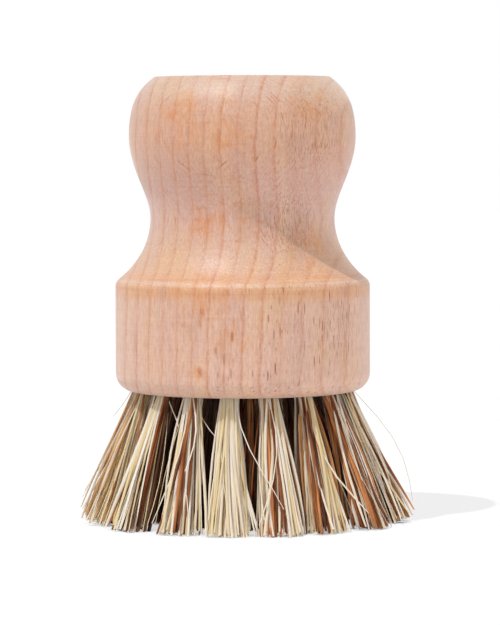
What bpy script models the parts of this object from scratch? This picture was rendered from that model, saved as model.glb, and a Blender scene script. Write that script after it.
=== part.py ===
"""Palm dish brush: a turned beech block with stapled tufts of plant fibre.

Metres, +Z up. The origin is on the brush's axis, on the flat plane that the bristles are trimmed to.
"""

import math
import random

import bmesh
import bpy
from mathutils import Matrix, Vector
from mathutils.geometry import interpolate_bezier

# Bristles
TRIM_LENGTH = 0.0284        # from the trimmed bristle face up to the block's underside
SPLAY_ANGLE = math.radians(19.5)   # lean of the outermost tufts
FAN_GAP = 0.0024            # clear space between two neighbouring tufts at the tips
FIBRES_PER_TUFT = 13
FIBRE_RADIUS = 0.00042
TIP_UNEVEN = 0.0014         # how far some tips end above the trimmed face
TIP_CUT = 0.0005            # how much the trimming takes off the longest fibres
FIBRE_WANDER = 0.00035      # how far a tip strays from its place in the fan

# Turned block, heights above its underside
BASE_RADIUS = 0.0280
BASE_HEIGHT = 0.0240        # to the rim where the cove begins
CORNER_RADIUS = 0.0040      # round of the lower edge
RIM_ROUND = 0.0010          # how far the rim's round reaches along both faces
COVE_SLOPE = math.radians(38.5)    # rise of the cove where it meets the rim
NECK_RADIUS = 0.02025
NECK_HEIGHT = 0.0379
KNOB_RADIUS = 0.0249
KNOB_HEIGHT = 0.0559        # of the knob's widest circle
TOP_RADIUS = 0.0193         # of the flat on top
TOP_SLOPE = math.radians(40.5)     # fall of the knob just outside the flat
BLOCK_HEIGHT = 0.0689
# Lengths of the handles that shape the profile's curves
COVE_PULL = 0.0037
RIM_PULL = 0.0070
NECK_PULL = 0.0054
KNOB_LOWER_PULL = 0.0072
KNOB_UPPER_PULL = 0.0090
TOP_PULL = 0.0029

# Holes for the tufts, in rings
INNER_RING_RADIUS = 0.0052
OUTER_RING_INSET = 0.0056   # from the block's side to the outer ring of holes
RINGS = (("inner", 3), ("middle", 9), ("outer", 17))
RING_TURNS = {"inner": math.radians(30.0), "middle": math.radians(10.0), "outer": math.radians(-6.9)}
HOLE_RADIUS = 0.00235
HOLE_DEPTH = 0.0125
DRILL_POINT = 0.0009        # depth of the hole's cone beyond its wall

# Staples
WIRE_RADIUS = 0.0004
STAPLE_WIDTH = 0.0039       # over both legs
FOLD_HEIGHT = 0.0034        # of the folded bundle between the staple's crown and the end of the hole
LEG_BITE = 0.0036           # of each staple leg in the wood
BEND_RADIUS = 0.0006        # of the wire's centre line at the staple's corners
SEAT_GAP = 0.0003           # clearance of a piece in its seat

BLOCK_SIDES = 60
HOLE_SIDES = 12
GOLDEN_ANGLE = math.radians(137.508)


def outer_ring_radius():
    return BASE_RADIUS - OUTER_RING_INSET


def ring_radius(number):
    """Rings lie evenly between the inner and the outer one."""
    share = number / (len(RINGS) - 1)
    return INNER_RING_RADIUS + share * (outer_ring_radius() - INNER_RING_RADIUS)


def tip_scale():
    """How much wider a ring is at the tips than at the holes: all the tufts fan out from one point."""
    return 1 + TRIM_LENGTH * math.tan(SPLAY_ANGLE) / outer_ring_radius()


def fan_radius():
    """Reach of a tuft's tips round its middle: half the closest spacing of tufts there, less the gap."""
    ring_pitch = (outer_ring_radius() - INNER_RING_RADIUS) / (len(RINGS) - 1)
    chords = [2 * ring_radius(i) * math.sin(math.pi / count) for i, (_, count) in enumerate(RINGS)]
    return (min(chords + [ring_pitch]) * tip_scale() - FAN_GAP) / 2


def crown_depth():
    """Depth of the staple's crown in its hole, on the wire's centre line."""
    return HOLE_DEPTH - FOLD_HEIGHT - WIRE_RADIUS


def leg_offset():
    """From the hole's axis to each leg's centre line."""
    return STAPLE_WIDTH / 2 - WIRE_RADIUS


def root_radius():
    return HOLE_RADIUS - SEAT_GAP


def linear(hex_colour):
    """An sRGB hex colour as the linear red, green, blue and alpha that a shader takes."""
    channels = [int(hex_colour[i:i + 2], 16) / 255 for i in (0, 2, 4)]
    return [c / 12.92 if c <= 0.04045 else ((c + 0.055) / 1.055) ** 2.4 for c in channels] + [1.0]


def make_material(name, hex_colour, roughness, metallic=0.0):
    material = bpy.data.materials.new(name)
    material.use_nodes = True
    shader = material.node_tree.nodes["Principled BSDF"]
    shader.inputs["Base Color"].default_value = linear(hex_colour)
    shader.inputs["Roughness"].default_value = roughness
    shader.inputs["Metallic"].default_value = metallic
    return material


def add_object(name, data, material, parent=None):
    obj = bpy.data.objects.new(name, data)
    bpy.context.scene.collection.objects.link(obj)
    if not data.materials:
        data.materials.append(material)
    obj.parent = parent
    return obj


def mesh_from(bm, name):
    bmesh.ops.recalc_face_normals(bm, faces=bm.faces)
    mesh = bpy.data.meshes.new(name)
    bm.to_mesh(mesh)
    bm.free()
    return mesh


def cut_or_join(mesh, other, operation):
    """Returns mesh after an exact Boolean with other, and deletes both."""
    target = bpy.data.objects.new("boolean_target", mesh)
    tool = bpy.data.objects.new("boolean_tool", other)
    for obj in (target, tool):
        bpy.context.scene.collection.objects.link(obj)
    modifier = target.modifiers.new("Boolean", "BOOLEAN")
    modifier.operation = operation
    modifier.solver = "EXACT"
    modifier.object = tool
    bpy.context.view_layer.update()
    graph = bpy.context.evaluated_depsgraph_get()
    result = bpy.data.meshes.new_from_object(target.evaluated_get(graph))
    bpy.data.objects.remove(target)
    bpy.data.objects.remove(tool)
    return result


def add_prism(bm, rings):
    """Closed loft through rings of as many points each, with flat ends."""
    loops = [[bm.verts.new(point) for point in ring] for ring in rings]
    sides = len(loops[0])
    for lower, upper in zip(loops, loops[1:]):
        for i in range(sides):
            j = (i + 1) % sides
            bm.faces.new((lower[i], lower[j], upper[j], upper[i]))
    bm.faces.new(reversed(loops[0]))
    bm.faces.new(loops[-1])


def circle(radius, height, sides, centre=(0.0, 0.0), start=0.0):
    steps = [start + 2 * math.pi * i / sides for i in range(sides)]
    return [Vector((centre[0] + radius * math.cos(a), centre[1] + radius * math.sin(a), height)) for a in steps]


def block_profile():
    """Half section of the turned block as (radius, height), from the edge of its flat top to that of its underside."""
    def curve(start, start_pull, end_pull, end, steps):
        ends = [Vector((r, z, 0)) for r, z in (start, start_pull, end_pull, end)]
        return [(p.x, p.y) for p in interpolate_bezier(*ends, steps)]

    top = (TOP_RADIUS, BLOCK_HEIGHT)
    knob = (KNOB_RADIUS, KNOB_HEIGHT)
    neck = (NECK_RADIUS, NECK_HEIGHT)
    cove_way = (-math.cos(COVE_SLOPE), math.sin(COVE_SLOPE))
    cove_end = (BASE_RADIUS + RIM_ROUND * cove_way[0], BASE_HEIGHT + RIM_ROUND * cove_way[1])
    side_top = (BASE_RADIUS, BASE_HEIGHT - RIM_ROUND)

    shoulder = curve(top, (top[0] + TOP_PULL * math.cos(TOP_SLOPE), top[1] - TOP_PULL * math.sin(TOP_SLOPE)),
                     (knob[0], knob[1] + KNOB_UPPER_PULL), knob, 9)
    waist = curve(knob, (knob[0], knob[1] - KNOB_LOWER_PULL), (neck[0], neck[1] + NECK_PULL), neck, 9)
    cove = curve(neck, (neck[0], neck[1] - COVE_PULL),
                 (cove_end[0] + RIM_PULL * cove_way[0], cove_end[1] + RIM_PULL * cove_way[1]), cove_end, 8)
    corner = (BASE_RADIUS, BASE_HEIGHT)
    halfway = [((2 * corner[k] + end[k]) / 3) for end in (cove_end, side_top) for k in (0, 1)]
    rim = curve(cove_end, halfway[:2], halfway[2:], side_top, 4)
    turns = [math.radians(90 * i / 5) for i in range(6)]
    foot = [(BASE_RADIUS - CORNER_RADIUS * (1 - math.cos(a)), CORNER_RADIUS * (1 - math.sin(a))) for a in turns]
    return shoulder + waist[1:] + cove[1:] + rim[1:] + foot


def turned_block():
    """The profile spun about the axis, with its flat top and underside filled."""
    bm = bmesh.new()
    points = [bm.verts.new((r, 0, TRIM_LENGTH + z)) for r, z in block_profile()]
    edges = [bm.edges.new(ends) for ends in zip(points, points[1:])]
    bmesh.ops.spin(bm, geom=points + edges, cent=(0, 0, 0), axis=(0, 0, 1), angle=2 * math.pi,
                   steps=BLOCK_SIDES, use_merge=True)
    bmesh.ops.holes_fill(bm, edges=bm.edges, sides=0)
    return mesh_from(bm, "handle_block")


def drill_shape():
    """What is taken out of the wood for one tuft, in the hole's own frame: mouth at the origin, +Z inwards."""
    bm = bmesh.new()
    mouth = -CORNER_RADIUS
    add_prism(bm, [circle(HOLE_RADIUS, mouth, HOLE_SIDES), circle(HOLE_RADIUS, HOLE_DEPTH, HOLE_SIDES),
                   circle(HOLE_RADIUS / 4, HOLE_DEPTH + DRILL_POINT, HOLE_SIDES)])
    legs = bmesh.new()
    pocket_end = HOLE_DEPTH + LEG_BITE + SEAT_GAP
    for side in (-1, 1):
        ring = [circle(WIRE_RADIUS + SEAT_GAP, height, 6, (side * leg_offset(), 0.0), math.pi / 6)
                for height in (crown_depth(), pocket_end)]
        add_prism(legs, ring)
    return cut_or_join(mesh_from(bm, "drill"), mesh_from(legs, "leg_pockets"), "UNION")


def hole_frames():
    """(ring name, number in the ring, frame) for each hole. +Z runs up the hole, X along the ring."""
    frames = []
    for index, (ring, count) in enumerate(RINGS):
        radius = ring_radius(index)
        lean = math.atan(radius * (tip_scale() - 1) / TRIM_LENGTH)
        for number in range(count):
            turn = Matrix.Rotation(RING_TURNS[ring] + 2 * math.pi * number / count, 4, "Z")
            # The front hole is at -Y, and its axis leans so that the tips lie further out than the mouth.
            place = Matrix.Translation((0, -radius, TRIM_LENGTH))
            frames.append((ring, number + 1, turn @ place @ Matrix.Rotation(-lean, 4, "X")))
    return frames


def drilled_block(frames):
    drill = drill_shape()
    bm = bmesh.new()
    for _, _, frame in frames:
        copy = drill.copy()
        copy.transform(frame)
        bm.from_mesh(copy)
        bpy.data.meshes.remove(copy)
    return cut_or_join(turned_block(), mesh_from(bm, "all_holes"), "DIFFERENCE")


def staple_curve():
    """Round wire bent to a U: crown across the hole, legs up into the wood."""
    x, low, high = leg_offset(), crown_depth(), HOLE_DEPTH + LEG_BITE
    bend = min(BEND_RADIUS, x)
    cut = bend * (1 - math.cos(math.radians(45)))
    half = [(x, high), (x, low + bend), (x - cut, low + cut), (x - bend, low)]
    points = [(-px, 0, pz) for px, pz in half] + [(px, 0, pz) for px, pz in reversed(half)]
    curve = bpy.data.curves.new("staple_wire", "CURVE")
    curve.dimensions = "3D"
    curve.bevel_depth = WIRE_RADIUS
    curve.bevel_resolution = 1
    curve.use_fill_caps = True
    spline = curve.splines.new("POLY")
    spline.points.add(len(points) - 1)
    for point, place in zip(spline.points, points):
        point.co = (*place, 1)
    return curve


def staple_channel():
    """Space that a staple and its clearance take from the folded bundle, open to the hole's wall."""
    half = WIRE_RADIUS + SEAT_GAP
    wall, tongue = HOLE_RADIUS + SEAT_GAP, leg_offset() - half
    low, saddle, top = crown_depth() - half, crown_depth() + half, HOLE_DEPTH + DRILL_POINT
    outline = [(-wall, low), (wall, low), (wall, top), (tongue, top),
               (tongue, saddle), (-tongue, saddle), (-tongue, top), (-wall, top)]
    bm = bmesh.new()
    add_prism(bm, [[Vector((x, y, z)) for x, z in outline] for y in (-half, half)])
    return mesh_from(bm, "staple_channel")


def fibre_place(number):
    """A fibre's place in its tuft, as a share of the tuft's reach: an even spiral that fills the circle."""
    reach = math.sqrt((number + 0.5) / FIBRES_PER_TUFT)
    return Vector((reach * math.cos(number * GOLDEN_ANGLE), reach * math.sin(number * GOLDEN_ANGLE)))


def tuft_mesh(frame, seed):
    """A bundle folded over its staple, and its fibres down to the trimmed face, in the hole's frame."""
    luck = random.Random(seed)
    into_hole = frame.inverted()
    mouth = TRIM_LENGTH + SEAT_GAP

    def at_height(x, y, z):
        """The point of the hole frame's line through (x, y) that lies at world height z."""
        start, way = frame @ Vector((x, y, 0)), frame.to_3x3() @ Vector((0, 0, 1))
        return start + way * ((z - start.z) / way.z)

    bm = bmesh.new()
    section = circle(root_radius(), 0, HOLE_SIDES)
    end = HOLE_DEPTH - SEAT_GAP
    add_prism(bm, [[into_hole @ at_height(p.x, p.y, mouth) for p in section],
                   circle(root_radius(), end - FOLD_HEIGHT / 3, HOLE_SIDES),
                   circle(root_radius() * 0.7, end, HOLE_SIDES)])
    bundle = cut_or_join(mesh_from(bm, "bundle"), staple_channel(), "DIFFERENCE")

    fibres = bmesh.new()
    spread = fan_radius() - FIBRE_RADIUS - FIBRE_WANDER
    middle = at_height(0, 0, 0)
    for number in range(FIBRES_PER_TUFT):
        root = fibre_place(number) * (root_radius() - FIBRE_RADIUS)
        place = fibre_place(number) * spread
        stray = luck.uniform(0, FIBRE_WANDER)
        way = luck.uniform(0, 2 * math.pi)
        tip_height = max(0.0, luck.uniform(-TIP_CUT, TIP_UNEVEN))
        out = frame.to_3x3() @ Vector((place.x + stray * math.cos(way), place.y + stray * math.sin(way), 0))
        tip = Vector((middle.x + out.x, middle.y + out.y, 0))
        start = at_height(root.x, root.y, mouth)
        inside = start + (start - tip) * (SEAT_GAP * 3 / TRIM_LENGTH)
        tip = start + (tip - start) * ((start.z - tip_height) / start.z)
        corners = circle(FIBRE_RADIUS, 0, 3)
        add_prism(fibres, [[into_hole @ (centre + corner) for corner in corners] for centre in (inside, tip)])
    return cut_or_join(bundle, mesh_from(fibres, "fibres"), "UNION")


def shade_smooth(mesh, sharp_angle):
    mesh.shade_smooth()
    mesh.set_sharp_from_angle(angle=math.radians(sharp_angle))


def build():
    for obj in list(bpy.data.objects):
        bpy.data.objects.remove(obj)
    beech = make_material("beech", "E3BB9C", 0.55)
    wire = make_material("staple_wire", "A9ABAD", 0.35, 1.0)
    fibre = make_material("union_fibre", "CDB68C", 0.7)

    frames = hole_frames()
    block = drilled_block(frames)
    shade_smooth(block, 25)
    add_object("handle_block", block, beech)
    staple = staple_curve()
    for seed, (ring, number, frame) in enumerate(frames):
        place = bpy.data.objects.new(f"hole_{ring}_{number:02d}", None)
        bpy.context.scene.collection.objects.link(place)
        place.matrix_world = frame
        add_object(f"staple_{ring}_{number:02d}", staple, wire, place)
        add_object(f"tuft_{ring}_{number:02d}", tuft_mesh(frame, seed), fibre, place)


build()
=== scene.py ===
# Dish brush: turned beech block with stapled tufts of union fibre.
# Everything is in metres in the part's own frame: +Z up, the bristles stand on z = 0, -Y is the front.
import math
from functools import partial
import bpy
import numpy as np
from mathutils import Matrix, Vector


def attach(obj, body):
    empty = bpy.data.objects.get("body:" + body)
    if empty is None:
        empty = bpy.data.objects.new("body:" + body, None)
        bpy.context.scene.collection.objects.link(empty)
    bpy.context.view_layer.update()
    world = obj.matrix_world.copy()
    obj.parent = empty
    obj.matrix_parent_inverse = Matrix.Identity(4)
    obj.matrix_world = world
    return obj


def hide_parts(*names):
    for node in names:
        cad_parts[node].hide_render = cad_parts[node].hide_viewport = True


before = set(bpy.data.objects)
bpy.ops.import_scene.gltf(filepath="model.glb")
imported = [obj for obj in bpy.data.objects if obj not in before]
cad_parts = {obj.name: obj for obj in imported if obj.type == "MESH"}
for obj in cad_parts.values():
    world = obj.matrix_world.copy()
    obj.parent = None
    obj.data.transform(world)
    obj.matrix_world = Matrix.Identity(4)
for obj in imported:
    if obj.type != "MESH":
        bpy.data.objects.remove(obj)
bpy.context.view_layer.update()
print("frame loaded:", len(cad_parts), "nodes")


# Small helpers

def colour(hexCode):
    # sRGB hex to the linear values that a shader takes
    part = np.array([int(hexCode[i:i + 2], 16) / 255 for i in (0, 2, 4)])
    return np.where(part <= 0.04045, part / 12.92, ((part + 0.055) / 1.055) ** 2.4)


def paint(hexCode):
    return (*colour(hexCode), 1.0)


def giveInputs(node, inputs):
    # an output of another node is linked, and anything else is a plain value
    for key, value in inputs.items():
        if isinstance(value, bpy.types.NodeSocket):
            node.id_data.links.new(value, node.inputs[key])
        else:
            node.inputs[key].default_value = value


def addNode(tree, kind, inputs=None, out=0, stops=(), **settings):
    # adds a shader node, "Kind" or "Kind.OPERATION", with its settings, links or fills its inputs, and gives
    # back one of its outputs. Inputs go by name or number: a MapRange brings its value, 0, from the range 1-2
    # into 3-4, and a Mix has its amount at 0 and its colours at 6 and 7. Stops are (place, grey or hex).
    kind, *operation = kind.split(".")
    made = tree.nodes.new("ShaderNode" + kind)
    if operation:
        made.operation = operation[0]
    for name, value in settings.items():
        setattr(made, name, value)
    giveInputs(made, inputs or {})
    for number, (place, value) in enumerate(stops):
        ramp = made.color_ramp.elements
        if number == 0:
            ramp.remove(ramp[1])
        stop = ramp.new(place) if number else ramp[0]
        stop.position = place
        stop.color = paint(value) if isinstance(value, str) else (value, value, value, 1.0)
    return made.outputs[out] if made.outputs else made


def newMaterial(name):
    # a material, addNode for its tree, and its Principled shader
    material = bpy.data.materials.new(name)
    material.use_nodes = True
    tree = material.node_tree
    return material, partial(addNode, tree), tree.nodes["Principled BSDF"]


def emptyTree(owner):
    # clears the nodes of a world or a material, and gives back addNode for its tree
    owner.use_nodes = True
    owner.node_tree.nodes.clear()
    return partial(addNode, owner.node_tree)


def addObject(name, data):
    made = bpy.data.objects.new(name, data)
    bpy.context.scene.collection.objects.link(made)
    return made


def addPiece(name, points, faces, materials):
    # points is an array whose last axis is xyz, faces a list of index lists
    mesh = bpy.data.meshes.new(name)
    mesh.from_pydata(points.reshape(-1, 3).tolist(), [], faces)
    for material in materials:
        mesh.materials.append(material)
    return addObject(name, mesh)


def addMap(mesh, uv):
    mesh.uv_layers.new(name="OFBake").data.foreach_set("uv", uv.astype(np.float32).ravel())


def together(*parts):
    # arrays and numbers side by side along a new last axis
    return np.stack(np.broadcast_arrays(*parts), -1)


def gridFaces(rows, columns):
    # quads of a tube: its rows follow one another along it, and its columns close round it
    row = np.arange(rows - 1)[:, None] * columns
    column = np.arange(columns)
    following = (column + 1) % columns
    nextRow = row + columns
    return together(row + column, row + following, nextRow + following, nextRow + column).reshape(-1, 4)


# Where the tufts stand, as the block is drilled
drilling = {
    # name of each ring, number of holes, radius, and turn of its first hole in degrees
    "rings": (("inner", 3, 0.0052, 30.0), ("middle", 9, 0.0138, 10.0), ("outer", 17, 0.0224, -6.9)),
    "trim": 0.0284,  # bristle length below the wood
    "splay": 19.5,  # degrees, lean of the outer tufts
    "holeRadius": 0.00235,
    "holeDepth": 0.0125,
    "drillPoint": 0.0009,
    "pointFlat": 0.25,  # radius of the drill's blunt tip, as a share of its own
    "runOut": 0.004,  # how far the drill stands out of the wood
    "holeSides": 28,
}


def holeFrames():
    # name and matrix of each hole: its columns are the ring's way, the tilt outward, the way in, the mouth
    spread = math.tan(math.radians(drilling["splay"])) / drilling["rings"][-1][2]
    found = []
    for ring, count, radius, turn in drilling["rings"]:
        lean = math.atan(radius * spread)
        for number in range(count):
            place = Matrix.Rotation(math.radians(turn) + 2 * math.pi * number / count, 4, "Z")
            place = place @ Matrix.Translation((0, -radius, drilling["trim"]))
            place = place @ Matrix.Rotation(-lean, 4, "X")
            found.append((f"{ring}_{number + 1:02d}", np.array(place)))
    return found


# Beech, a fine, straight-grained wood, turned, sanded and left bare. It gives a pinkish tan, a dull sheen,
# thin orange lines where growth rings end, hair-fine pores along the grain, and rays that show as short
# brown dashes where the cut crosses them and as broad faint flecks where it runs along them.
beech = {
    # tone by height in mm above the bristle face, partly the wood's own and partly painted light: base, rim,
    # cove, waist, knob, shoulder
    # painted highlight: the pale stops at the rim's top (52.9) and on the shoulder (94.5, 97.3); painted
    # shade: the darker waist (67, 74)
    "tonesAndLight": (
        (28.0, "F2C8B2"), (34.0, "EDC0A9"), (48.4, "ECBFA6"), (50.8, "E9AC80"), (52.2, "EBB692"),
        (52.9, "ECC8AE"), (53.6, "E8AE86"), (55.4, "E7BA99"), (59.5, "E4BA9D"), (67.0, "E3B9AA"),
        (74.0, "DFB2A1"), (82.0, "E3B093"), (90.0, "E4B498"), (94.5, "E3C1AB"), (97.3, "E6C2AC"),
    ),
    # tint of each layer and how strongly it covers what lies under it, from the broadest to the finest
    "layers": {
        "rosy": ("DDB2A2", 0.45),
        "yellow": ("EDBE8E", 0.38),
        # painted shade: a dull brown that deepens the knob's shadow on the cove and waist
        "paintedShade": ("C4906F", 1.0),
        "stain": ("E69B62", 0.62),
        "ringLine": ("CA7038", 0.62),
        "mark": ("CA7038", 1.0),
        "pore": ("9A5430", 0.60),
        "fleck": ("DA8A5C", 0.34),
        "stroke": ("CA7038", 0.70),
        "smallRay": ("A04E2A", 0.50),
        "ray": ("A04E2A", 0.80),
    },
    "ringPitch": 3.651,  # mm between growth rings
    "ringStart": -0.18,  # mm from the axis to the nearest ring, at ringLevel
    "ringLevel": 40.0,  # mm above the bristle face
    "ringFacing": 79.5,  # degrees from the front to the tangential side, towards +X
    "ringLean": 0.0373,  # mm that the rings shift for each mm of height
    "ringBow": 0.00247,  # curve of the rings, 1 / (2 x tree radius in mm)
    "ringWander": 1.1,  # mm, slow
    "ringWobble": 0.9,  # mm, fine
    # strength of the line across one ring, which darkens slowly and ends sharply
    "ringProfile": (
        (0.0, 0.0), (0.14, 0.05), (0.36, 0.30), (0.44, 0.72), (0.49, 1.0), (0.54, 0.62), (0.60, 0.0),
    ),
    # rays: mm between them along the radius, across it and along the grain, then the outer and the inner edge
    # of a mark as a share of that, and the share that doesn't show. Strokes are rays cut at a slant.
    "rays": {
        "ray": ((1.5, 0.44, 5.6), 0.26, 0.17, 0.05),
        "smallRay": ((1.1, 0.40, 2.6), 0.25, 0.12, 0.10),
        "stroke": ((12.0, 0.34, 5.0), 0.26, 0.16, 0.50),
    },
    "rayLuck": 0.90,  # from this much luck on, a ray shows in full
    # noises: along the brush's axes or the grain, scale per mm, detail and roughness. Real pores and fibres,
    # of 0.06 mm, are too fine to show, so they are drawn coarser.
    "noises": {
        "wander": ("brush", (0.045, 0.045, 0.045), 2.0, 0.50),
        "wobble": ("grain", (0.45, 0.45, 0.34), 5.0, 0.68),
        "patchy": ("grain", (0.24, 0.24, 0.15), 4.0, 0.65),
        "broken": ("grain", (1.3, 1.3, 0.9), 2.0, 0.50),
        "fibre": ("grain", (2.7, 2.7, 0.46), 4.0, 0.62),
        "pore": ("grain", (4.6, 4.6, 0.42), 2.0, 0.50),
        "fleck": ("grain", (0.34, 1.0, 0.85), 3.0, 0.60),
        "turning": ("brush", (0.05, 0.05, 2.4), 2.0, 0.50),
        "blotch": ("grain", (0.36, 0.30, 0.19), 5.0, 0.68),
        "drift": ("grain", (0.22, 0.12, 0.07), 4.0, 0.60),
        "mottle": ("brush", (3.2, 3.2, 1.7), 2.0, 0.50),
    },
    # ranges: from and to, then what these become, which is 0 and 1 unless given; heights are in mm
    "ranges": {
        "ringPatchy": (0.36, 0.60, 0.42, 1.0),
        "ringLuck": (0.0, 1.0, 0.55, 1.25),
        "ringAcross": (4.0, 17.0, 1.0, 0.65),  # plainer on the right
        "ringBroken": (0.36, 0.54, 0.62, 1.0),
        "ringShade": (0.0, 1.0, 0.97, 1.03),
        "poreOpen": (0.53, 0.65),
        "rayHeight": (55.0, 50.5, 0.40, 1.0),  # plainest on the base
        "rayRight": (-0.15, 0.35, 0.12, 1.0),  # where the face cuts across the rays
        "rayLeft": (-0.60, -0.95, 0.0, 0.6),
        "strokeSlant": (0.975, 0.93),
        "strokeHeight": (55.0, 61.0),
        "fleckSize": (0.55, 0.64),
        "fleckFlush": (0.80, 0.97),
        "fleckHeight": (48.0, 62.0, 0.3, 1.0),
        "stainBlotch": (0.44, 0.60),
        "markEdge": (1.1, 0.3),
        "markBroken": (0.36, 0.54, 0.45, 1.0),
        "rosy": (0.50, 0.66),
        "yellow": (0.50, 0.34),
        "fine": (0.30, 0.70, 0.89, 1.10),
        "mottle": (0.30, 0.70, 0.955, 1.045),
        "rimLow": (50.4, 52.2),
        "rimHigh": (55.4, 53.4),
        "roughness": (0.3, 0.7, 0.56, 0.44),  # smoother where the fibres are dense
    },
    "turningMarks": 0.12,  # how much the tool's fine level rings show
    "rimMarks": 0.32,  # how much more they show at the rim
    "swing": (0.75, 1.25, 1.70),  # how much a fine light or dark mark changes red, green and blue
    # places: share of the reach at full strength, strength elsewhere, then x, y, z, reach in mm and strength
    "places": {
        "stain": (0.2, 0, (
            (-13.7, -20.7, 87, 10, 1), (-7.5, -19.5, 66, 8, 1), (-9, -26.7, 50.5, 9, 1),
            (-3, -24, 84, 6, 1), (-1.5, -28, 41, 6.5, 1), (-9.3, -26.4, 46.5, 3.2, 1),
            # the last of these, at (16, -17, 61), lies in the knob's shadow on the cove: partly stain, partly
            # painted shade
            (-9, -26.5, 34.6, 2.8, 1), (16, -19, 57, 7, 1), (16, -17, 61, 7.5, 1),
            (14.6, -19, 92, 8, 1), (4, 24, 84, 11, 1), (-20, 18, 47, 8, 1),
        )),
        # painted shade: three spots along the knob's shadow on the cove and waist, darker and duller
        "paintedShade": (0.3, 0, (
            (3, -20, 67, 7, 0.34), (12, -17, 62.5, 7.5, 0.34), (20, -13, 58.5, 9, 0.36),
        )),
        "openPores": (0.3, 0.22, (
            (15, -18, 85, 13, 1), (10.5, -18, 65.5, 11, 1), (21, -19, 42, 9, 1),
            (-6, 22, 70, 20, 1),
        )),
    },
    # single smears and strokes on the front: x, z, half width, half height in mm, degrees clockwise, strength
    "marks": (
        (-8.6, 46.9, 0.8, 1.5, 0, 0.60), (-12.8, 44.3, 1.6, 0.8, 10, 0.35),
        (-9.1, 44.6, 0.9, 1.2, 0, 0.45), (-9.1, 34.2, 0.8, 1.5, 0, 0.60),
        (-5.7, 39, 0.40, 1.4, 0, 0.60), (-2, 36.3, 0.40, 1.3, 0, 0.60),
        (-5.2, 33.6, 0.40, 1, 0, 0.50), (-12.5, 78.1, 2.4, 0.26, 38, 0.90),
        (-4.1, 78.3, 1.9, 0.26, -38, 0.90), (-8.1, 76.1, 2.3, 0.22, 6, 0.60),
        (-14.8, 75.4, 1.5, 0.20, 30, 0.55), (-0.5, 75.6, 1.5, 0.20, -45, 0.55),
    ),
    "markFront": -30.0,  # y in mm where the marks are centred, in front of the wood
    "markDepth": 20.0,  # how far back they reach
    # surface: relief of fibres, pores and rays against the turning marks, its height in metres, and finish
    "relief": {"fibre": 0.6, "pore": -0.06, "ray": -0.2},
    "reliefHeight": 0.00002,
    "reliefStrength": 0.35,
    "finish": {"Specular IOR Level": 0.62, "Sheen Weight": 0.35, "Sheen Roughness": 0.4},
}


def woodSpace(add):
    # where a point lies in mm and how its face is turned. "brush" has the brush's axes, and "grain" runs
    # along the tree's radius, across it and up the grain. A face cuts rays square where "cut" is 1, and runs
    # along them where "flush" is 1.
    facing = math.radians(beech["ringFacing"])
    radial = (math.sin(facing), -math.cos(facing), 0.0)
    tangent = (math.cos(facing), math.sin(facing), 0.0)
    brush = add("VectorMath.SCALE", {0: add("TexCoord", out="Object"), "Scale": 1000.0})
    normal = add("NewGeometry", out="Normal")
    at = {"brush": brush, "height": add("SeparateXYZ", {0: brush}, "Z")}
    for name, value, way in (("across", brush, radial), ("aside", brush, tangent), ("cut", normal, radial),
                             ("flush", normal, tangent)):
        at[name] = add("VectorMath.DOT_PRODUCT", {0: value, 1: way}, "Value")
    at["flush"] = add("Math.ABSOLUTE", {0: at["flush"]})
    at["grain"] = add("CombineXYZ", {0: at["across"], 1: at["aside"], 2: at["height"]})
    return at


def span(value, name):
    # what a MapRange takes to bring a value through the named range
    return {0: value, **dict(enumerate(beech["ranges"][name], 1))}


def ranged(add, amount, *factors):
    # the amount times each of the factors, which are (value, name of its range)
    for value, name in factors:
        factor = add("MapRange", span(value, name))
        amount = add("Math.MULTIPLY", {0: amount, 1: factor})
    return amount


def growthRings(add, at, noise):
    # flat sheets, slightly bowed and leaning, that wander slowly and wobble finely. Gives back the line where
    # each ring ends and a random value for each ring.
    pitch, lean = beech["ringPitch"], beech["ringLean"]
    wander, wobble = beech["ringWander"], beech["ringWobble"]
    place = at["across"]
    bowed = add("Math.MULTIPLY", {0: at["aside"], 1: at["aside"]})
    for value, share in ((bowed, beech["ringBow"]), (at["height"], -lean), (noise["wander"], wander),
                         (noise["wobble"], wobble)):
        place = add("Math.MULTIPLY_ADD", {0: value, 1: share, 2: place})
    start = lean * beech["ringLevel"] - beech["ringStart"] - (wander + wobble) / 2
    ring = add("Math.MULTIPLY_ADD", {0: place, 1: 1 / pitch, 2: start / pitch + 0.5})
    phase = add("Math.FRACT", {0: ring})
    line = add("ValToRGB", {0: phase}, "Color", stops=beech["ringProfile"])
    luck = add("TexWhiteNoise", {"W": add("Math.FLOOR", {0: ring})}, noise_dimensions="1D")
    line = ranged(add, line, (noise["patchy"], "ringPatchy"), (luck, "ringLuck"))
    return ranged(add, line, (at["across"], "ringAcross"), (noise["broken"], "ringBroken")), luck


def rayLayers(add, at):
    # thin upright plates that run out along the radius. A face that cuts them square shows them as dashes,
    # large and small, and one that slants past them as strokes.
    shown = {}
    for name, (size, edge, core, hidden) in beech["rays"].items():
        perLength = tuple(1 / length for length in size)
        place = add("VectorMath.MULTIPLY", {0: at["grain"], 1: perLength})
        distance = add("TexVoronoi", {"Vector": place, "Scale": 1.0}, "Distance")
        luck = add("SeparateColor", {0: distance.node.outputs["Color"]})
        luck = add("MapRange", {0: luck, 1: hidden, 2: beech["rayLuck"]})
        mark = add("MapRange", {0: distance, 1: edge, 2: core})
        shown[name] = add("Math.MULTIPLY", {0: mark, 1: luck})
    right = add("MapRange", span(at["cut"], "rayRight"))
    left = add("MapRange", span(at["cut"], "rayLeft"))
    crossed = add("Math.MAXIMUM", {0: right, 1: left})
    crossed = ranged(add, crossed, (at["height"], "rayHeight"))
    for name in ("ray", "smallRay"):
        shown[name] = add("Math.MULTIPLY", {0: shown[name], 1: crossed})
    slant, high = (at["flush"], "strokeSlant"), (at["height"], "strokeHeight")
    shown["stroke"] = ranged(add, shown["stroke"], slant, high)
    return shown


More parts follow.
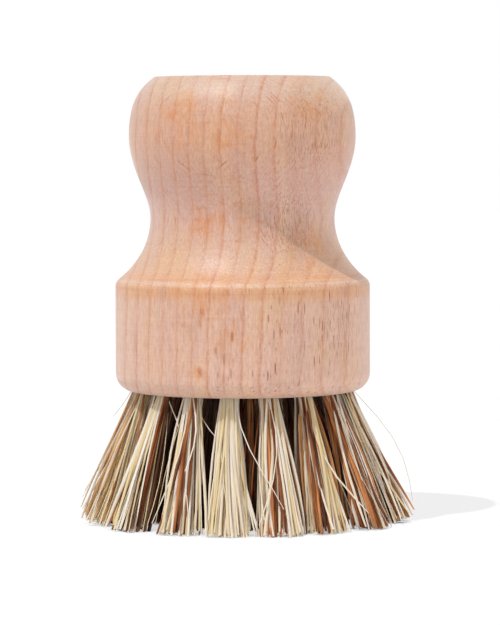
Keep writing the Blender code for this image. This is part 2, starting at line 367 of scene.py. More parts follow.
def nearPlaces(add, brush, name):
    # how near a point is to the nearest of the named places, from 0 at their reach to their strength
    core, field, places = beech["places"][name]
    for x, y, z, reach, strength in places:
        away = add("VectorMath.DISTANCE", {0: brush, 1: (x, y, z)}, "Value")
        near = {0: away, 1: reach, 2: reach * core, 3: 0.0, 4: strength}
        near = add("MapRange", near, interpolation_type="SMOOTHSTEP")
        field = add("Math.MAXIMUM", {0: near, 1: field})
    return field


def singleMarks(add, brush):
    # each mark is an ellipse seen from the front
    field = 0
    for x, z, wide, tall, turn, strength in beech["marks"]:
        place = {"Vector": brush, "Location": (x, beech["markFront"], z),
                 "Rotation": (0.0, math.radians(turn), 0.0), "Scale": (wide, beech["markDepth"], tall)}
        place = add("Mapping", place, vector_type="TEXTURE")
        out = add("VectorMath.LENGTH", {0: place}, "Value")
        near = add("MapRange", {**span(out, "markEdge"), 4: strength})
        field = add("Math.MAXIMUM", {0: near, 1: field})
    return field


def woodShade(add, at, noise, ringLuck):
    # fine light and dark, strongest in blue: the tool's level rings, deepest at the rim, a mottle, the
    # fibres, and each growth ring's own shade
    depth = ranged(add, beech["rimMarks"], (at["height"], "rimLow"), (at["height"], "rimHigh"))
    depth = add("Math.ADD", {0: depth, 1: beech["turningMarks"]})
    shade = add("Math.SUBTRACT", {0: noise["turning"], 1: 0.5})
    shade = add("Math.MULTIPLY_ADD", {0: shade, 1: depth, 2: 1.0})
    shade = ranged(add, shade, (noise["mottle"], "mottle"), (noise["fibre"], "fine"), (ringLuck, "ringShade"))
    shade = add("Math.SUBTRACT", {0: shade, 1: 1.0})
    shade = add("VectorMath.SCALE", {0: beech["swing"], "Scale": shade})
    return add("VectorMath.ADD", {0: shade, 1: (1.0, 1.0, 1.0)})


def beechMaterial():
    material, add, shader = newMaterial("beech, turned and sanded")
    at, noise = woodSpace(add), {}
    brush, height, flush = at["brush"], at["height"], at["flush"]
    for name, (space, scale, detail, roughness) in beech["noises"].items():
        place = add("VectorMath.MULTIPLY", {0: at[space], 1: scale})
        inputs = {"Vector": place, "Scale": 1.0, "Detail": detail, "Roughness": roughness}
        noise[name] = add("TexNoise", inputs)

    # where each layer shows
    line, ringLuck = growthRings(add, at, noise)
    fleck = add("MapRange", span(noise["fleck"], "fleckSize"))
    layers = {
        "rosy": add("MapRange", span(noise["drift"], "rosy")),
        "yellow": add("MapRange", span(noise["drift"], "yellow")),
        # painted shade in the knob's shadow on the cove and waist
        "paintedShade": nearPlaces(add, brush, "paintedShade"),
        "stain": ranged(add, nearPlaces(add, brush, "stain"), (noise["blotch"], "stainBlotch")),
        "ringLine": line,
        "mark": ranged(add, singleMarks(add, brush), (noise["broken"], "markBroken")),
        "pore": ranged(add, nearPlaces(add, brush, "openPores"), (noise["pore"], "poreOpen")),
        "fleck": ranged(add, fleck, (flush, "fleckFlush"), (height, "fleckHeight")),
        **rayLayers(add, at),
    }

    # colour: the tone of the height with its painted highlights and shade, the layers over it, and the fine
    # shade over them all
    low, high = beech["tonesAndLight"][0][0], beech["tonesAndLight"][-1][0]
    tonesAndLight = [((z - low) / (high - low), tone) for z, tone in beech["tonesAndLight"]]
    level = add("MapRange", {0: height, 1: low, 2: high})
    look = add("ValToRGB", {0: level}, "Color", stops=tonesAndLight)
    for name, (tint, strength) in beech["layers"].items():
        amount = add("Math.MULTIPLY", {0: layers[name], 1: strength})
        look = add("Mix", {0: amount, 6: look, 7: paint(tint)}, 2, data_type="RGBA")
    shade = woodShade(add, at, noise, ringLuck)
    look = add("VectorMath.MULTIPLY", {0: look, 1: shade})

    # finish: a dull, sanded surface
    rough = add("MapRange", span(noise["fibre"], "roughness"))
    relief = noise["turning"]
    for value, name in ((noise["fibre"], "fibre"), (layers["pore"], "pore"), (layers["ray"], "ray")):
        relief = add("Math.MULTIPLY_ADD", {0: value, 1: beech["relief"][name], 2: relief})
    depth, strength = beech["reliefHeight"], beech["reliefStrength"]
    bump = add("Bump", {"Height": relief, "Distance": depth, "Strength": strength})
    giveInputs(shader, {"Base Color": look, "Roughness": rough, "Normal": bump, **beech["finish"]})
    return material


# The block's outline: radius and height of its points, above the trimmed bristle face, in metres
block = {
    "top": (0.0193, 0.0973), "knob": (0.0249, 0.0843), "neck": (0.02025, 0.0663), "rim": (0.0280, 0.0524),
    "underside": 0.0284, "footRound": 0.0040, "rimRound": 0.0010,
    # how the curves leave their ends: slopes in degrees, and how far the ends pull
    "coveSlope": 38.5, "topSlope": 40.5, "topPull": 0.0029,
    "knobPull": (0.0090, 0.0072), "neckPull": (0.0054, 0.0037), "rimPull": 0.0070,
    # points along each stretch of the outline from the top down, and round it
    "steps": (16, 40, 34, 30, 9, 22, 14, 12),
    "sides": 208,
    "sharpAngle": 35.0,  # degrees, past which an edge isn't shaded smooth
    "drillStrip": 0.09,  # share of the block's map that the holes take
}


def bend(ends, steps):
    # cubic through its first and last point, drawn to the two between: sum of Bernstein weights times points
    t = np.linspace(0, 1, steps)[:, None]
    a, b, c, d = (np.array(p, float) for p in ends)
    return (1 - t) ** 3 * a + 3 * (1 - t) ** 2 * t * b + 3 * (1 - t) * t ** 2 * c + t ** 3 * d


def blockOutline():
    # (radius, height) from the middle of the top to the middle of the underside
    slope, fall = math.radians(block["coveSlope"]), math.radians(block["topSlope"])
    top, knob, neck, corner = (np.array(block[name]) for name in ("top", "knob", "neck", "rim"))
    down = np.array((0, -1))
    upTheCove = np.array((-math.cos(slope), math.sin(slope)))
    coveEnd = corner + block["rimRound"] * upTheCove
    sideTop = corner - (0, block["rimRound"])
    shoulder = (top, top + block["topPull"] * np.array((math.cos(fall), -math.sin(fall))),
                knob - block["knobPull"][0] * down, knob)
    waist = (knob, knob + block["knobPull"][1] * down, neck - block["neckPull"][0] * down, neck)
    cove = (neck, neck + block["neckPull"][1] * down, coveEnd + block["rimPull"] * upTheCove, coveEnd)
    rim = (coveEnd, (2 * corner + coveEnd) / 3, (2 * corner + sideTop) / 3, sideTop)
    lidSteps, *bendSteps, sideSteps, footSteps, floorSteps = block["steps"]
    turn = np.linspace(0, math.pi / 2, footSteps)
    foot = together(corner[0] - block["footRound"] * (1 - np.cos(turn)),
                    block["underside"] + block["footRound"] * (1 - np.sin(turn)))
    stretches = [np.linspace((0, top[1]), top, lidSteps)]
    stretches += [bend(ends, steps) for ends, steps in zip((shoulder, waist, cove, rim), bendSteps)]
    stretches += [np.linspace(sideTop, foot[0], sideSteps), foot]
    floor = np.linspace(foot[-1], (0, block["underside"]), floorSteps)
    return np.concatenate([stretch[:-1] for stretch in stretches] + [floor])


def turnedBlock(material):
    # surface of revolution: (r(v) cos u, r(v) sin u, z(v)), closed by a point at each end
    outline = blockOutline()
    rows, columns = len(outline) - 2, block["sides"]
    turn = np.linspace(0, 2 * math.pi, columns, endpoint=False)
    radius, height = outline[1:-1, :1], outline[1:-1, 1:]
    points = together(radius * np.cos(turn), radius * np.sin(turn), height).reshape(-1, 3)
    last = len(points)
    points = np.concatenate([points, [(0, 0, outline[0, 1]), (0, 0, outline[-1, 1])]])
    ring = np.arange(columns)
    following = (ring + 1) % columns
    lowest = (rows - 1) * columns
    quads = gridFaces(rows, columns)[:, ::-1]
    lid = together(last, ring, following)
    under = together(last + 1, lowest + following, lowest + ring)
    piece = addPiece("block_turned", points, quads.tolist() + lid.tolist() + under.tolist(), [material])

    # map: once round from left to right, and up the outline by its length, above the drill's strip
    along = np.append(0.0, np.cumsum(np.hypot(*np.diff(outline, axis=0).T)))
    up = 1 - (1 - block["drillStrip"]) * along / along[-1]
    left, right = ring / columns, (ring + 1) / columns
    middle = (left + right) / 2
    upper, lower = up[1:-2, None], up[2:-1, None]
    maps = ((left, lower, right, lower, right, upper, left, upper),
            (middle, up[0], left, up[1], right, up[1]),
            (middle, up[-1], right, up[-2], left, up[-2]))
    addMap(piece.data, np.concatenate([together(*corners).ravel() for corners in maps]))
    return piece


def drillHoles(piece, frames):
    # the drill is a cylinder with a blunt point: circles of radius r(v) along the hole's own axis
    sides, radius, depth = drilling["holeSides"], drilling["holeRadius"], drilling["holeDepth"]
    turn = np.linspace(0, 2 * math.pi, sides, endpoint=False)
    levels = np.array([(radius, -drilling["runOut"]), (radius, depth),
                       (radius * drilling["pointFlat"], depth + drilling["drillPoint"])])
    wide, deep = levels[:, :1], levels[:, 1:]
    drill = together(wide * np.cos(turn), wide * np.sin(turn), deep).reshape(-1, 3)
    walls = gridFaces(len(levels), sides)
    ends = np.stack([np.arange(sides)[::-1], (len(levels) - 1) * sides + np.arange(sides)])
    points, faces = [], []
    for number, (_, place) in enumerate(frames):
        points.append(drill @ place[:3, :3].T + place[:3, 3])
        faces += (walls + number * len(drill)).tolist() + (ends + number * len(drill)).tolist()
    cutter = addPiece("drill", np.concatenate(points), faces, piece.data.materials)
    addMap(cutter.data, drillMap(len(frames), turn))

    cut = piece.modifiers.new("drilled", "BOOLEAN")
    cut.object = cutter
    cut.solver = "EXACT"
    bpy.context.view_layer.update()
    drilled = bpy.data.meshes.new_from_object(piece.evaluated_get(bpy.context.evaluated_depsgraph_get()))
    piece.modifiers.clear()
    piece.data = drilled
    bpy.data.objects.remove(cutter)


def drillMap(count, turn):
    # each hole has its own slot in the strip, with its walls below and its two ends as small discs above. The
    # numbers are shares of the slot.
    margin, levels, full = 0.05, (0.05, 0.35, 0.65), 0.98
    discs, discHeight, discSize = ((0.25, -1), (0.75, 1)), 0.83, (0.2, 0.14)
    width = (1 - 2 * margin) / len(turn)
    left = margin + width * np.arange(len(turn))
    right = left + width
    parts = []
    for low, high in zip(levels, levels[1:]):
        parts.append(together(left, low, right, low, right, high, left, high).reshape(-1, 2))
    for middle, way in discs:
        disc = (middle + discSize[0] * np.cos(way * turn), discHeight + discSize[1] * np.sin(way * turn))
        parts.append(together(*disc))
    slot = np.concatenate(parts)
    across = (slot[:, 0] + np.arange(count)[:, None]) / count
    return together(across, full * block["drillStrip"] * slot[:, 1])


frames = holeFrames()
blockPiece = turnedBlock(beechMaterial())
drillHoles(blockPiece, frames)
blockPiece.data.shade_smooth()
blockPiece.data.set_sharp_from_angle(angle=math.radians(block["sharpAngle"]))
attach(blockPiece, "root")
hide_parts("handle_block")
print("block turned and drilled:", len(blockPiece.data.polygons), "faces")


# Union fibre: pale tampico, which is fine, smooth and slightly shiny, mixed with brown palmyra stalk, which
# is thicker, duller and mottled. A strand's own colour is in the mesh, and the material streaks it.
fibre = {
    "firstSeed": 100,
    "perTuft": 96,  # strands, besides the single ones below
    "sides": 6,
    "levels": (0.0, 0.10, 0.27, 0.46, 0.66, 0.85, 1.0),  # shares of a strand's way from mouth to tip
    "rootDepth": 0.0045,  # how far the strands are made up into the hole
    "holeGap": 0.0001,  # clearance between the outermost strands and the hole
    "fan": (0.0051, 0.0043),  # reach of a tuft's tips round its middle, along the ring and across it
    "wander": 0.0010,  # how far a tip strays from its place in the fan
    "unruly": (0.10, 0.0020),  # share of the strands that stray further, and how far
    "tipEnds": (-0.0007, 0.0013),  # how high the tips end before those below the floor are cut level
    "turn": 0.8,  # how long a strand keeps to the hole's axis
    "bow": 0.00055,  # how far it bends aside
    "frontBow": 0.0014,  # how far the front tufts draw in under the wood
    "frontBowHigh": 0.6,  # below 1, they draw in most near the wood
    "skirt": 0.0368,  # reach of the tips round the axis, past which they are drawn in
    "pastSkirt": 0.3,  # how much of what lies past it is kept
    "riseFrom": 0.0345,  # reach from which the tips rise
    # light and dark colour, width in mm, and share of the strands
    "kinds": {
        "b": ("FFF5E6", "F4E2C6", 0.55, 0.46),  # blond
        "s": ("F8E5BC", "EACF98", 0.50, 0.20),  # straw
        "a": ("EAB27A", "B47A4A", 0.66, 0.10),  # amber
        "r": ("E0965C", "7C3C20", 0.60, 0.09),  # rust
        "c": ("9E623A", "5A3220", 0.80, 0.08),  # chestnut
        "d": ("6C4834", "3C241A", 1.00, 0.07),  # nearly black
    },
    "fine": "bsr",  # kinds that come two to a letter
    "pale": "bs",  # kinds whose row stands two deep
    "brown": "arcd",  # kinds that are palmyra
    # partly the real brown palmyra, partly painted shade: warmer, darker kinds behind the row stand for the
    # warm shade deep in a tuft
    "behind": ("sarrac", 0.15),  # kinds mixed in behind a tuft's front row, and their share
    # painted shade: darker kinds than the real inner tufts have, which share the outer mix, so the gaps look
    # dark
    "shadedInnerMix": "dddcddrdca",  # kinds in the two rings that show only through the gaps
    "rowLetters": 7,  # length of the front row where the tuft isn't listed
    "elsewhere": (0.0, 0.15, 1.1),  # shift, rise and thickness there
    "widthSpread": (0.65, 1.2),
    "rowJitter": 0.05,
    "rowEnd": 0.98,  # how far to the sides the row may reach
    "secondRow": 0.80,  # how far out the second of the two stands
    "filled": 0.9,  # how far out the strands behind the row stand
    "spiral": 2.39996,  # golden angle, in radians
    # hairs: every ninth strand behind the row is much thinner and strays more
    "hairEvery": 9,
    "hairWidth": (0.00018, 0.00030),
    "hairStray": 0.0016,
    "hairRise": 0.004,
    "hairBow": 1.4,
    "hairInset": 0.0012,
    # cross-section: turn in radians, thickness over width, width of the tip, where it thins, unevenness
    "roll": 0.5,
    "flatness": (0.40, 0.65),
    "tipWidth": (0.55, 0.95),
    "thinFrom": 0.6,
    "uneven": 0.10,
    # colour: how much it changes along pale and brown strands, the painted shade under the wood, and the
    # streaks
    "changes": (0.12, 0.45),
    # painted shade: the strands darken towards the wood, where the block shades them
    "rootShade": (0.34, 0.25),  # how dark, and down to which share of the way
    "streakWidth": 1 / 7000,
    "streakLength": 1 / 250,
    "streakShift": 13.7,  # from one strand's streaks to the next one's
    "sharpAngle": 70.0,  # degrees
    # front tufts: the strands from left to right, how far the tips stand right of the tuft's own place, how
    # much the tips rise for each mm past riseFrom, and how thick the strands are against their kind
    "front": {
        "outer_13": ("asbsb", 0.0016, 1.2, 1.3), "outer_14": ("absbsbs", 0.0007, 1.2, 1.6),
        "outer_15": ("aasbssb", 0.0014, 0.6, 1.5), "outer_16": ("bsbsbrrcdd", 0.0002, 0.1, 1.3),
        "outer_17": ("bbsbrcbsbb", 0.0018, 0.1, 1.15), "outer_01": ("bsbbsbssbb", 0.0012, 0.0, 1.2),
        "outer_02": ("bbsrrbbrsbb", 0.0002, 0.0, 1.2), "outer_03": ("bdsbrrabsbb", -0.0013, 0.1, 1.25),
        "outer_04": ("crabrrbccb", 0.0008, 0.1, 1.6), "outer_05": ("bbbcsab", 0.0012, 0.4, 1.7),
        "outer_06": ("bbsb", -0.0008, 0.8, 1.3),
    },
    # single strands that stand out: tuft, kind, width, tip and bow in mm
    "strays": (
        ("outer_05", "s", 0.20, (37.2, -4, 4.3), (3.2, 0, 1)),
        ("outer_05", "r", 0.85, (37.4, -7, 2.6), (-0.4, 0, 0)),
        ("outer_14", "b", 0.18, (-28.6, -1, 22.6), (-0.4, 0, -0.6)),
        ("outer_16", "b", 0.26, (-13.8, -21.5, 22.2), (0.3, 0, 0)),
        ("outer_17", "b", 0.24, (-4.4, -26, 18.6), (-1, 0, 0)),
        ("outer_17", "b", 0.30, (-12.2, -33, 13.8), (1.6, -1, 0)),
        ("outer_17", "b", 0.28, (-19.2, -33.4, 2.8), (1.2, -1, 0)),
        ("outer_01", "b", 0.22, (8.6, -36, 6), (-0.6, -1, 0)),
        ("outer_02", "b", 0.24, (3.4, -37, 2.8), (2.4, -0.6, 0)),
        ("outer_03", "b", 0.46, (26.6, -28.5, 4.4), (-2.4, -1, -1)),
        ("outer_15", "r", 0.60, (-24.5, -26, 0.4), (0.5, -0.5, 0)),
        ("outer_04", "b", 0.26, (31.2, -22, 1), (-1.8, -1.6, 0)),
        # dark ones behind the gap at the right, which keep the light from showing through
        ("outer_08", "d", 1.20, (22, 20, 0), (3, 0, 0)),
        ("outer_07", "d", 1.20, (14, 12, 0), (-2.2, 0, 0)),
        ("outer_07", "d", 1.20, (17, 10, 0), (-1.6, 0, 0)),
        ("middle_03", "d", 1.20, (30, 0.5, 0), (1, 0, 0)),
        ("middle_03", "d", 1.20, (32, 2, 0), (2, 0, 0)),
    ),
    # finish of the two fibres: roughness, streaks and specular
    "tampico": (0.46, 0.12, 0.38),
    "palmyra": (0.46, 0.50, 0.20),
}


def fibreMaterial(name, roughness, streaks, specular):
    material, add, shader = newMaterial(name)
    own = add("Attribute", out="Color", attribute_name="strandColour")
    place = add("Attribute", out="Vector", attribute_name="strandPlace")
    streak = add("TexNoise", {"Vector": place, "Scale": 1.0, "Detail": 3.0})
    streak = {0: streak, 1: 0.3, 2: 0.7}  # most of the noise lies between these
    change = add("MapRange", {**streak, 3: 1 - streaks, 4: 1 + streaks * 0.7})
    look = add("VectorMath.SCALE", {0: own, "Scale": change})
    rough = add("MapRange", {**streak, 3: roughness + 0.08, 4: roughness - 0.05})
    giveInputs(shader, {"Base Color": look, "Roughness": rough, "Specular IOR Level": specular})
    return material


def strandKinds(name, dice):
    # kinds of the front row from left to right, kinds of all strands, and the tuft's shift, rise, thickness
    kinds, shadedInnerMix, count = list(fibre["kinds"]), list(fibre["shadedInnerMix"]), fibre["rowLetters"]
    shares = np.array([share for *_, share in fibre["kinds"].values()])
    shares /= shares.sum()
    inner = not name.startswith("outer")
    if name in fibre["front"]:
        letters, *manner = fibre["front"][name]
    else:
        letters, manner = dice.choice(kinds, count, p=shares), fibre["elsewhere"]
    # the inner rings take the darker kinds, painted shade
    if inner:
        letters = dice.choice(shadedInnerMix, count)
    row = [kind for letter in letters for kind in str(letter) * (2 if letter in fibre["fine"] else 1)]
    filling = fibre["perTuft"] - len(row)
    if inner:
        return row, row + list(dice.choice(shadedInnerMix, filling)), *manner
    # browner kinds mixed in behind the row: partly the real mix, partly painted shade
    mixedIn, share = fibre["behind"]
    behind = list(dice.choice(row, filling))
    for number in np.flatnonzero(dice.uniform(0, 1, filling) < share):
        behind[number] = dice.choice(list(mixedIn))
    return row, row + behind, *manner


def strandSpots(name, place, row, width, dice):
    # each strand's place in the bundle as a share of its radius, along the ring and across it: the row stands
    # on the side that faces out, two deep, and the rest fill an even spiral behind it
    ringWay, tilt, _, mouth = place[:3].T
    outward = np.array((mouth[0], mouth[1], 0)) / np.hypot(*mouth[:2])
    if name in fibre["front"]:
        outward = np.array((0.0, -1.0, 0.0))
    sideways = np.cross(outward, (0, 0, -1.0))
    wide = width[:len(row)]
    across = 2 * (np.cumsum(wide) - wide / 2) / wide.sum() - 1 + dice.normal(0, fibre["rowJitter"], len(row))
    across = np.clip(across, -fibre["rowEnd"], fibre["rowEnd"])
    second = np.arange(len(row)) % 2 * np.isin(row, list(fibre["pale"]))
    out = np.sqrt(1 - across ** 2) * np.where(second, fibre["secondRow"], 1.0)
    front = across[:, None] * sideways + out[:, None] * outward
    filling = np.arange(fibre["perTuft"] - len(row))
    turn, reach = filling * fibre["spiral"], fibre["filled"] * np.sqrt((filling + 0.5) / len(filling))
    return np.concatenate([together(front @ ringWay, front @ tilt),
                           together(reach * np.cos(turn), reach * np.sin(turn))])


def strandTips(place, spot, width, hair, shift, rise, dice):
    # the bundle's pattern spread out on the floor round the point where the hole's axis meets it. Also gives
    # the hairs their own widths.
    ringWay, tilt, inward, mouth = place[:3].T
    flatTilt = tilt * (1, 1, 0) / np.linalg.norm(tilt[:2])
    middle = mouth - inward * (mouth[2] / inward[2]) + (shift, 0, 0)
    apart = fibre["fan"] * spot + dice.normal(0, fibre["wander"], spot.shape)
    share, stray = fibre["unruly"]
    unruly = dice.uniform(0, 1, len(spot)) < share
    apart[unruly] += dice.normal(0, stray, (unruly.sum(), 2))
    width[hair] = dice.uniform(*fibre["hairWidth"], hair.sum())
    apart[hair] += dice.normal(0, fibre["hairStray"], (hair.sum(), 2))
    tip = middle + apart[:, :1] * ringWay + apart[:, 1:] * flatTilt
    out = np.hypot(tip[:, 0], tip[:, 1])
    limit = np.where(hair, fibre["skirt"] - fibre["hairInset"], fibre["skirt"])
    drawnIn = limit + fibre["pastSkirt"] * (out - limit) * ~hair
    tip[:, :2] *= (np.where(out > limit, drawnIn, out) / out)[:, None]
    high = np.clip(dice.uniform(*fibre["tipEnds"], len(spot)), 0, None)
    high[hair] += dice.uniform(0, fibre["hairRise"], hair.sum())
    tip[:, 2] = high + rise * np.clip(np.hypot(tip[:, 0], tip[:, 1]) - fibre["riseFrom"], 0, None)
    return tip


def tuftStrands(name, place, dice):
    # which strands a tuft has: kind, place in the bundle, width, tip and bow
    row, picked, shift, rise, thick = strandKinds(name, dice)
    width = np.array([fibre["kinds"][kind][2] for kind in picked])
    width = width * dice.uniform(*fibre["widthSpread"], len(picked)) / 1000 * thick
    spot = strandSpots(name, place, row, width, dice)
    hair = np.zeros(len(picked), bool)
    hair[len(row) + 1::fibre["hairEvery"]] = True
    tip = strandTips(place, spot, width, hair, shift, rise, dice)
    bow = dice.normal(0, fibre["bow"], tip.shape) * np.where(hair, fibre["hairBow"], 1.0)[:, None]

    # strays leave the bundle on the side that they head for
    ringWay, tilt, _, mouth = place[:3].T
    for home, kind, wide, end, bulge in fibre["strays"]:
        if home == name:
            end = np.array(end) / 1000
            way = np.append(end[:2] - mouth[:2], 0.0)
            way /= np.hypot(*way[:2])
            picked.append(kind)
            width = np.append(width, wide / 1000)
            spot = np.vstack([spot, (way @ ringWay, way @ tilt)])
            tip = np.vstack([tip, end])
            bow = np.vstack([bow, np.array(bulge) / 1000])
    return picked, spot, width, tip, bow


def strandCentres(place, spot, width, tip, bow):
    # each centre line leaves the hole along the hole's axis and turns evenly towards its tip, plus a
    # half-sine bow, and in front a bow in under the wood. The arrays' axes are strand, level and xyz.
    ringWay, tilt, inward, mouth = place[:3].T
    u = np.array(fibre["levels"])[None, :, None]
    inHole = spot * (drilling["holeRadius"] - fibre["holeGap"] - width[:, None] / 2)
    start = mouth + inHole[:, :1] * ringWay + inHole[:, 1:] * tilt
    chord = tip - start
    length = np.linalg.norm(chord, axis=1, keepdims=True)
    straighter = (-inward * length - chord)[:, None] * (fibre["turn"] * u * (1 - u) ** 2)
    centre = start[:, None] + chord[:, None] * u + straighter + np.sin(np.pi * u) * bow[:, None]
    facing = max(0.0, -mouth[1] / np.hypot(*mouth[:2]))
    centre[:, :, 1] += fibre["frontBow"] * facing * np.sin(np.pi * u[..., 0] ** fibre["frontBowHigh"])
    root = start + inward * fibre["rootDepth"]
    return np.concatenate([root[:, None], centre], 1), length


def strandTubes(centre, width, ringWay, share, dice):
    # a flattened tube along each centre line: an ellipse square to it, turned by luck, thinner towards the
    # tip. Gives back the points and their places x and y in the cross-section.
    way = np.gradient(centre, axis=1)
    way /= np.linalg.norm(way, axis=-1, keepdims=True)
    one = ringWay - way * (way @ ringWay)[..., None]
    one /= np.linalg.norm(one, axis=-1, keepdims=True)
    two = np.cross(way, one)
    roll = dice.normal(0, fibre["roll"], len(centre))[:, None, None]
    flat = dice.uniform(*fibre["flatness"], len(centre))[:, None, None]
    thin = dice.uniform(*fibre["tipWidth"], len(centre))[:, None, None]
    late = np.clip((share - fibre["thinFrom"]) / (1 - fibre["thinFrom"]), 0, 1)[None, :, None]
    taper = 1 - (1 - thin) * late ** 1.5
    taper = taper * (1 + fibre["uneven"] * np.sin(9 * share[None, :, None] + roll * 4))  # swells and thins
    turn = np.linspace(0, 2 * np.pi, fibre["sides"], endpoint=False)
    half = width[:, None, None] / 2 * taper
    major, minor = half * np.cos(turn), half * flat * np.sin(turn)
    x = major * np.cos(roll) - minor * np.sin(roll)
    y = major * np.sin(roll) + minor * np.cos(roll)
    return centre[:, :, None] + x[..., None] * one[:, :, None] + y[..., None] * two[:, :, None], x, y


def colourStrands(mesh, picked, share, sides, dice):
    # each strand lies between the light and the dark of its kind, changes along its length, brown ones most,
    # and is darker just under the wood, painted shade where the block shades it
    ends = np.array([[colour(shade) for shade in fibre["kinds"][kind][:2]] for kind in picked])
    light, dark = ends[:, :1], ends[:, 1:]
    brown = np.array([kind in fibre["brown"] for kind in picked])
    each = (len(picked), 1)
    wave = np.sin(dice.uniform(0, 6.3, each) + share * dice.uniform(3, 11, each))
    pale, strong = fibre["changes"]
    blend = dice.uniform(0, 1, each) + wave * np.where(brown, strong, pale)[:, None]
    blend = np.clip(blend, 0, 1)[..., None]
    # painted shade, darkest at the wood
    rootDark, reach = fibre["rootShade"]
    shadedRoot = 1 - rootDark * np.clip(1 - share / reach, 0, 1)[:, None]
    values = np.ones((len(picked), len(share), sides, 4), np.float32)
    values[..., :3] = ((light * blend + dark * (1 - blend)) * shadedRoot)[:, :, None]
    mesh.attributes.new("strandColour", "FLOAT_COLOR", "POINT").data.foreach_set("color", values.ravel())
    return brown


def mapStrands(mesh, count, levels, sides):
    # each strand has its own upright strip of the map, with its two ends as lines
    aside, atEnds, endLine = 0.05, 0.01, 0.004  # margins, as shares of the strip
    side = np.linspace(aside, 1 - aside, sides + 1)
    rise = np.linspace(atEnds, 1 - atEnds, levels)
    number = np.arange(count)
    across = (number[:, None, None, None] + together(side[:-1], side[1:], side[1:], side[:-1])) / count
    up = together(rise[:-1], rise[:-1], rise[1:], rise[1:])[None, :, None]
    ends = (number[:, None] + side[:-1]) / count
    parts = ((across, up), (ends[:, ::-1], endLine), (ends, 1 - endLine))
    addMap(mesh, np.concatenate([together(*part).reshape(-1, 2) for part in parts]))


def makeTuft(name, place, seed, materials):
    # all strands of a tuft are one array of points, with axes strand, level, side and xyz
    dice = np.random.default_rng(seed)
    picked, spot, width, tip, bow = tuftStrands(name, place, dice)
    share = np.append(0.0, fibre["levels"])
    centre, length = strandCentres(place, spot, width, tip, bow)
    points, x, y = strandTubes(centre, width, place[:3, 0], share, dice)
    points[:, -1, :, 2] = tip[:, None, 2]  # trimmed level
    count, levels, sides = x.shape
    tube = gridFaces(levels, sides)
    first = np.arange(count)[:, None] * levels * sides
    quads = (first[..., None] + tube).reshape(-1, 4)
    topEnds = first + np.arange(sides)[::-1]
    tipEnds = first + (levels - 1) * sides + np.arange(sides)
    faces = quads.tolist() + topEnds.tolist() + tipEnds.tolist()
    piece = addPiece("bristles_" + name, points, faces, materials)
    mesh = piece.data
    brown = colourStrands(mesh, picked, share, sides, dice)
    ofBrown = np.concatenate([np.repeat(brown, len(tube)), brown, brown]).astype(np.int32)
    mesh.polygons.foreach_set("material_index", ofBrown)

    # the place that the streaks read, different for each strand
    along = length[..., None] * share[:, None] / fibre["streakLength"]
    values = together(x / fibre["streakWidth"], y / fibre["streakWidth"], along)
    values = (values + np.arange(count)[:, None, None, None] * fibre["streakShift"]).astype(np.float32)
    mesh.attributes.new("strandPlace", "FLOAT_VECTOR", "POINT").data.foreach_set("vector", values.ravel())
    mapStrands(mesh, count, levels, sides)
    mesh.shade_smooth()
    mesh.set_sharp_from_angle(angle=math.radians(fibre["sharpAngle"]))
    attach(piece, "root")
    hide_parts("tuft_" + name)
    return piece


tampico = fibreMaterial("tampico fibre, dried and combed", *fibre["tampico"])
palmyra = fibreMaterial("palmyra stalk fibre, dried and combed", *fibre["palmyra"])
tufts = []
for number, (name, place) in enumerate(frames):
    tufts.append(makeTuft(name, place, fibre["firstSeed"] + number, [tampico, palmyra]))
print("tufts:", len(tufts), "with", sum(len(t.data.polygons) for t in tufts), "faces")


# Staples, deep in the holes: drawn steel wire, bright, with fine lines along it.
staple = {
    "colours": ("9C9EA0", "B9BBBC"),
    "lines": 4000.0,  # per metre
    "roughness": {3: 0.26, 4: 0.42},
}


def wireMaterial():
    material, add, shader = newMaterial("steel wire, drawn")
    dark, bright = map(paint, staple["colours"])
    place = add("TexCoord", out="Object")
    scratch = add("TexNoise", {"Vector": place, "Scale": staple["lines"], "Detail": 2.0})
    tone = add("Mix", {0: scratch, 6: dark, 7: bright}, 2, data_type="RGBA")
    rough = add("MapRange", {0: scratch, **staple["roughness"]})
    giveInputs(shader, {"Base Color": tone, "Roughness": rough, "Metallic": 1.0})
    return material


wire = wireMaterial()
for nodeName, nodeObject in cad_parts.items():
    if nodeName.startswith("staple_"):
        nodeObject.data.materials.clear()
        nodeObject.data.materials.append(wire)
print("staples finished")


# Studio: white floor and surround, one key lamp from the upper left front, the rest is soft fill
studio = {
    "keyWay": (-0.375, -0.315, 1.0),  # from the brush to the lamp
    "keyStrength": 1.66,
    "keyTint": (0.96, 1.0, 1.03),
    "keyAngle": 1.0,  # degrees, softness of the shadows
    "fill": 0.655,
    "fillTint": (1.015, 1.0, 0.985),
    "fillLean": (0.30, 0.0, -0.38),  # how much stronger the fill is from +X, +Y and +Z
    "floorGlow": 0.707,  # share of the floor's white that no shadow takes away
    "glowTint": (0.985, 0.99, 1.0),
    "floorShown": 0.35,  # share that the shadows do take away
    "floorWhite": 0.95,  # what the floor throws back on the brush
    "contactReach": 0.004,
    "contactTint": "56626E",
    "contactRange": {1: 0.15, 2: 0.70},  # how open it is to the sky, from full shade to none
    "speckle": 620.0,  # per metre, breaks the contact shade up as single tips do
    "speckleRange": {1: 0.44, 2: 0.62},
    "floorReach": 3.0,
    "cameraPlace": (0.0016, -0.715, 0.0836),
    "cameraDown": 3.05,  # degrees
    "cameraRoll": -0.15,
    "focalPixels": 3250.0,  # focal length in pixels of the picture
    "pictureHeight": 625,  # pixels
    "sensorHeight": 36.0,  # mm
}


def seenDirectly(add):
    # 1 for what the camera sees itself, in a gloss or through glass, 0 for light that falls on the brush
    kinds = ("Camera", "Glossy", "Transmission")
    camera, gloss, glass = (add("LightPath", out=f"Is {kind} Ray") for kind in kinds)
    seen = add("Math.MAXIMUM", {0: camera, 1: gloss})
    return add("Math.MAXIMUM", {0: seen, 1: glass})


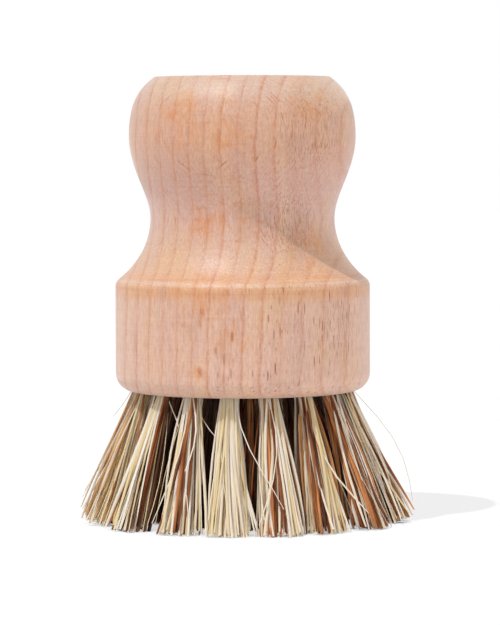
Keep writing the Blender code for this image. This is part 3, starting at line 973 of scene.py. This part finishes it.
def whiteWorld():
    # a soft fill that leans towards one side, and plain white where it is seen
    world = bpy.data.worlds.new("studio surround")
    bpy.context.scene.world = world
    add = emptyTree(world)
    way = add("TexCoord", out="Generated")
    lean = add("VectorMath.DOT_PRODUCT", {0: way, 1: studio["fillLean"]}, "Value")
    strength = add("Math.MULTIPLY_ADD", {0: lean, 1: studio["fill"], 2: studio["fill"]})
    fill = add("Background", {"Color": (*studio["fillTint"], 1), "Strength": strength})
    white = add("Background", {"Color": (1, 1, 1, 1), "Strength": 1.0})
    add("OutputWorld", {"Surface": add("MixShader", {0: seenDirectly(add), 1: fill, 2: white})})


def whiteFloor():
    # a matt white board for the light. What the camera sees of it is mostly glow, so that the shadow stays
    # as pale as in a bright studio.
    reach, white = studio["floorReach"], studio["floorWhite"]
    corners = np.array([(-reach, -reach, 0), (reach, -reach, 0), (reach, reach, 0), (-reach, reach, 0)])
    material = bpy.data.materials.new("white board, matt")
    add = emptyTree(material)
    plain = add("BsdfDiffuse", {"Color": (white, white, white, 1)})

    # close to the bristles the board darkens, a little bluish and in specks, where they shut out the sky
    sky = add("AmbientOcclusion", {"Distance": studio["contactReach"]}, "AO", samples=6)
    place = add("TexCoord", out="Object")
    speckle = add("TexNoise", {"Vector": place, "Scale": studio["speckle"], "Detail": 3.0})
    sky = add("MapRange", {0: sky, **studio["contactRange"]})
    speckle = add("MapRange", {0: speckle, **studio["speckleRange"]})
    sky = add("Math.MAXIMUM", {0: sky, 1: speckle})
    tone = add("Mix", {0: sky, 6: paint(studio["contactTint"]), 7: (1, 1, 1, 1)}, 2, data_type="RGBA")
    dimmed = add("VectorMath.SCALE", {0: tone, "Scale": studio["floorShown"]})
    tinted = add("VectorMath.MULTIPLY", {0: tone, 1: studio["glowTint"]})
    glow = add("Emission", {"Color": tinted, "Strength": studio["floorGlow"]})
    shown = add("AddShader", {0: glow, 1: add("BsdfDiffuse", {"Color": dimmed})})
    add("OutputMaterial", {"Surface": add("MixShader", {0: seenDirectly(add), 1: plain, 2: shown})})
    addPiece("floor", corners, [[0, 1, 2, 3]], [material])


def keyLamp():
    lamp = bpy.data.lights.new("key", "SUN")
    lamp.energy = studio["keyStrength"]
    lamp.color = studio["keyTint"]
    lamp.angle = math.radians(studio["keyAngle"])
    key = addObject("key", lamp)
    key.rotation_euler = Vector(studio["keyWay"]).to_track_quat("Z", "Y").to_euler()


def photoCamera():
    lens = bpy.data.cameras.new("camera")
    lens.sensor_fit = "VERTICAL"
    lens.sensor_height = studio["sensorHeight"]
    lens.lens = studio["focalPixels"] * lens.sensor_height / studio["pictureHeight"]
    lens.clip_end = 20
    camera = addObject("camera", lens)
    camera.location = studio["cameraPlace"]
    tilt = Matrix.Rotation(math.radians(90 - studio["cameraDown"]), 4, "X")
    roll = Matrix.Rotation(math.radians(studio["cameraRoll"]), 4, "Z")
    camera.rotation_euler = (tilt @ roll).to_euler()
    bpy.context.scene.camera = camera


whiteWorld()
whiteFloor()
keyLamp()
photoCamera()
bpy.context.scene.view_settings.view_transform = "Standard"
print("studio set")
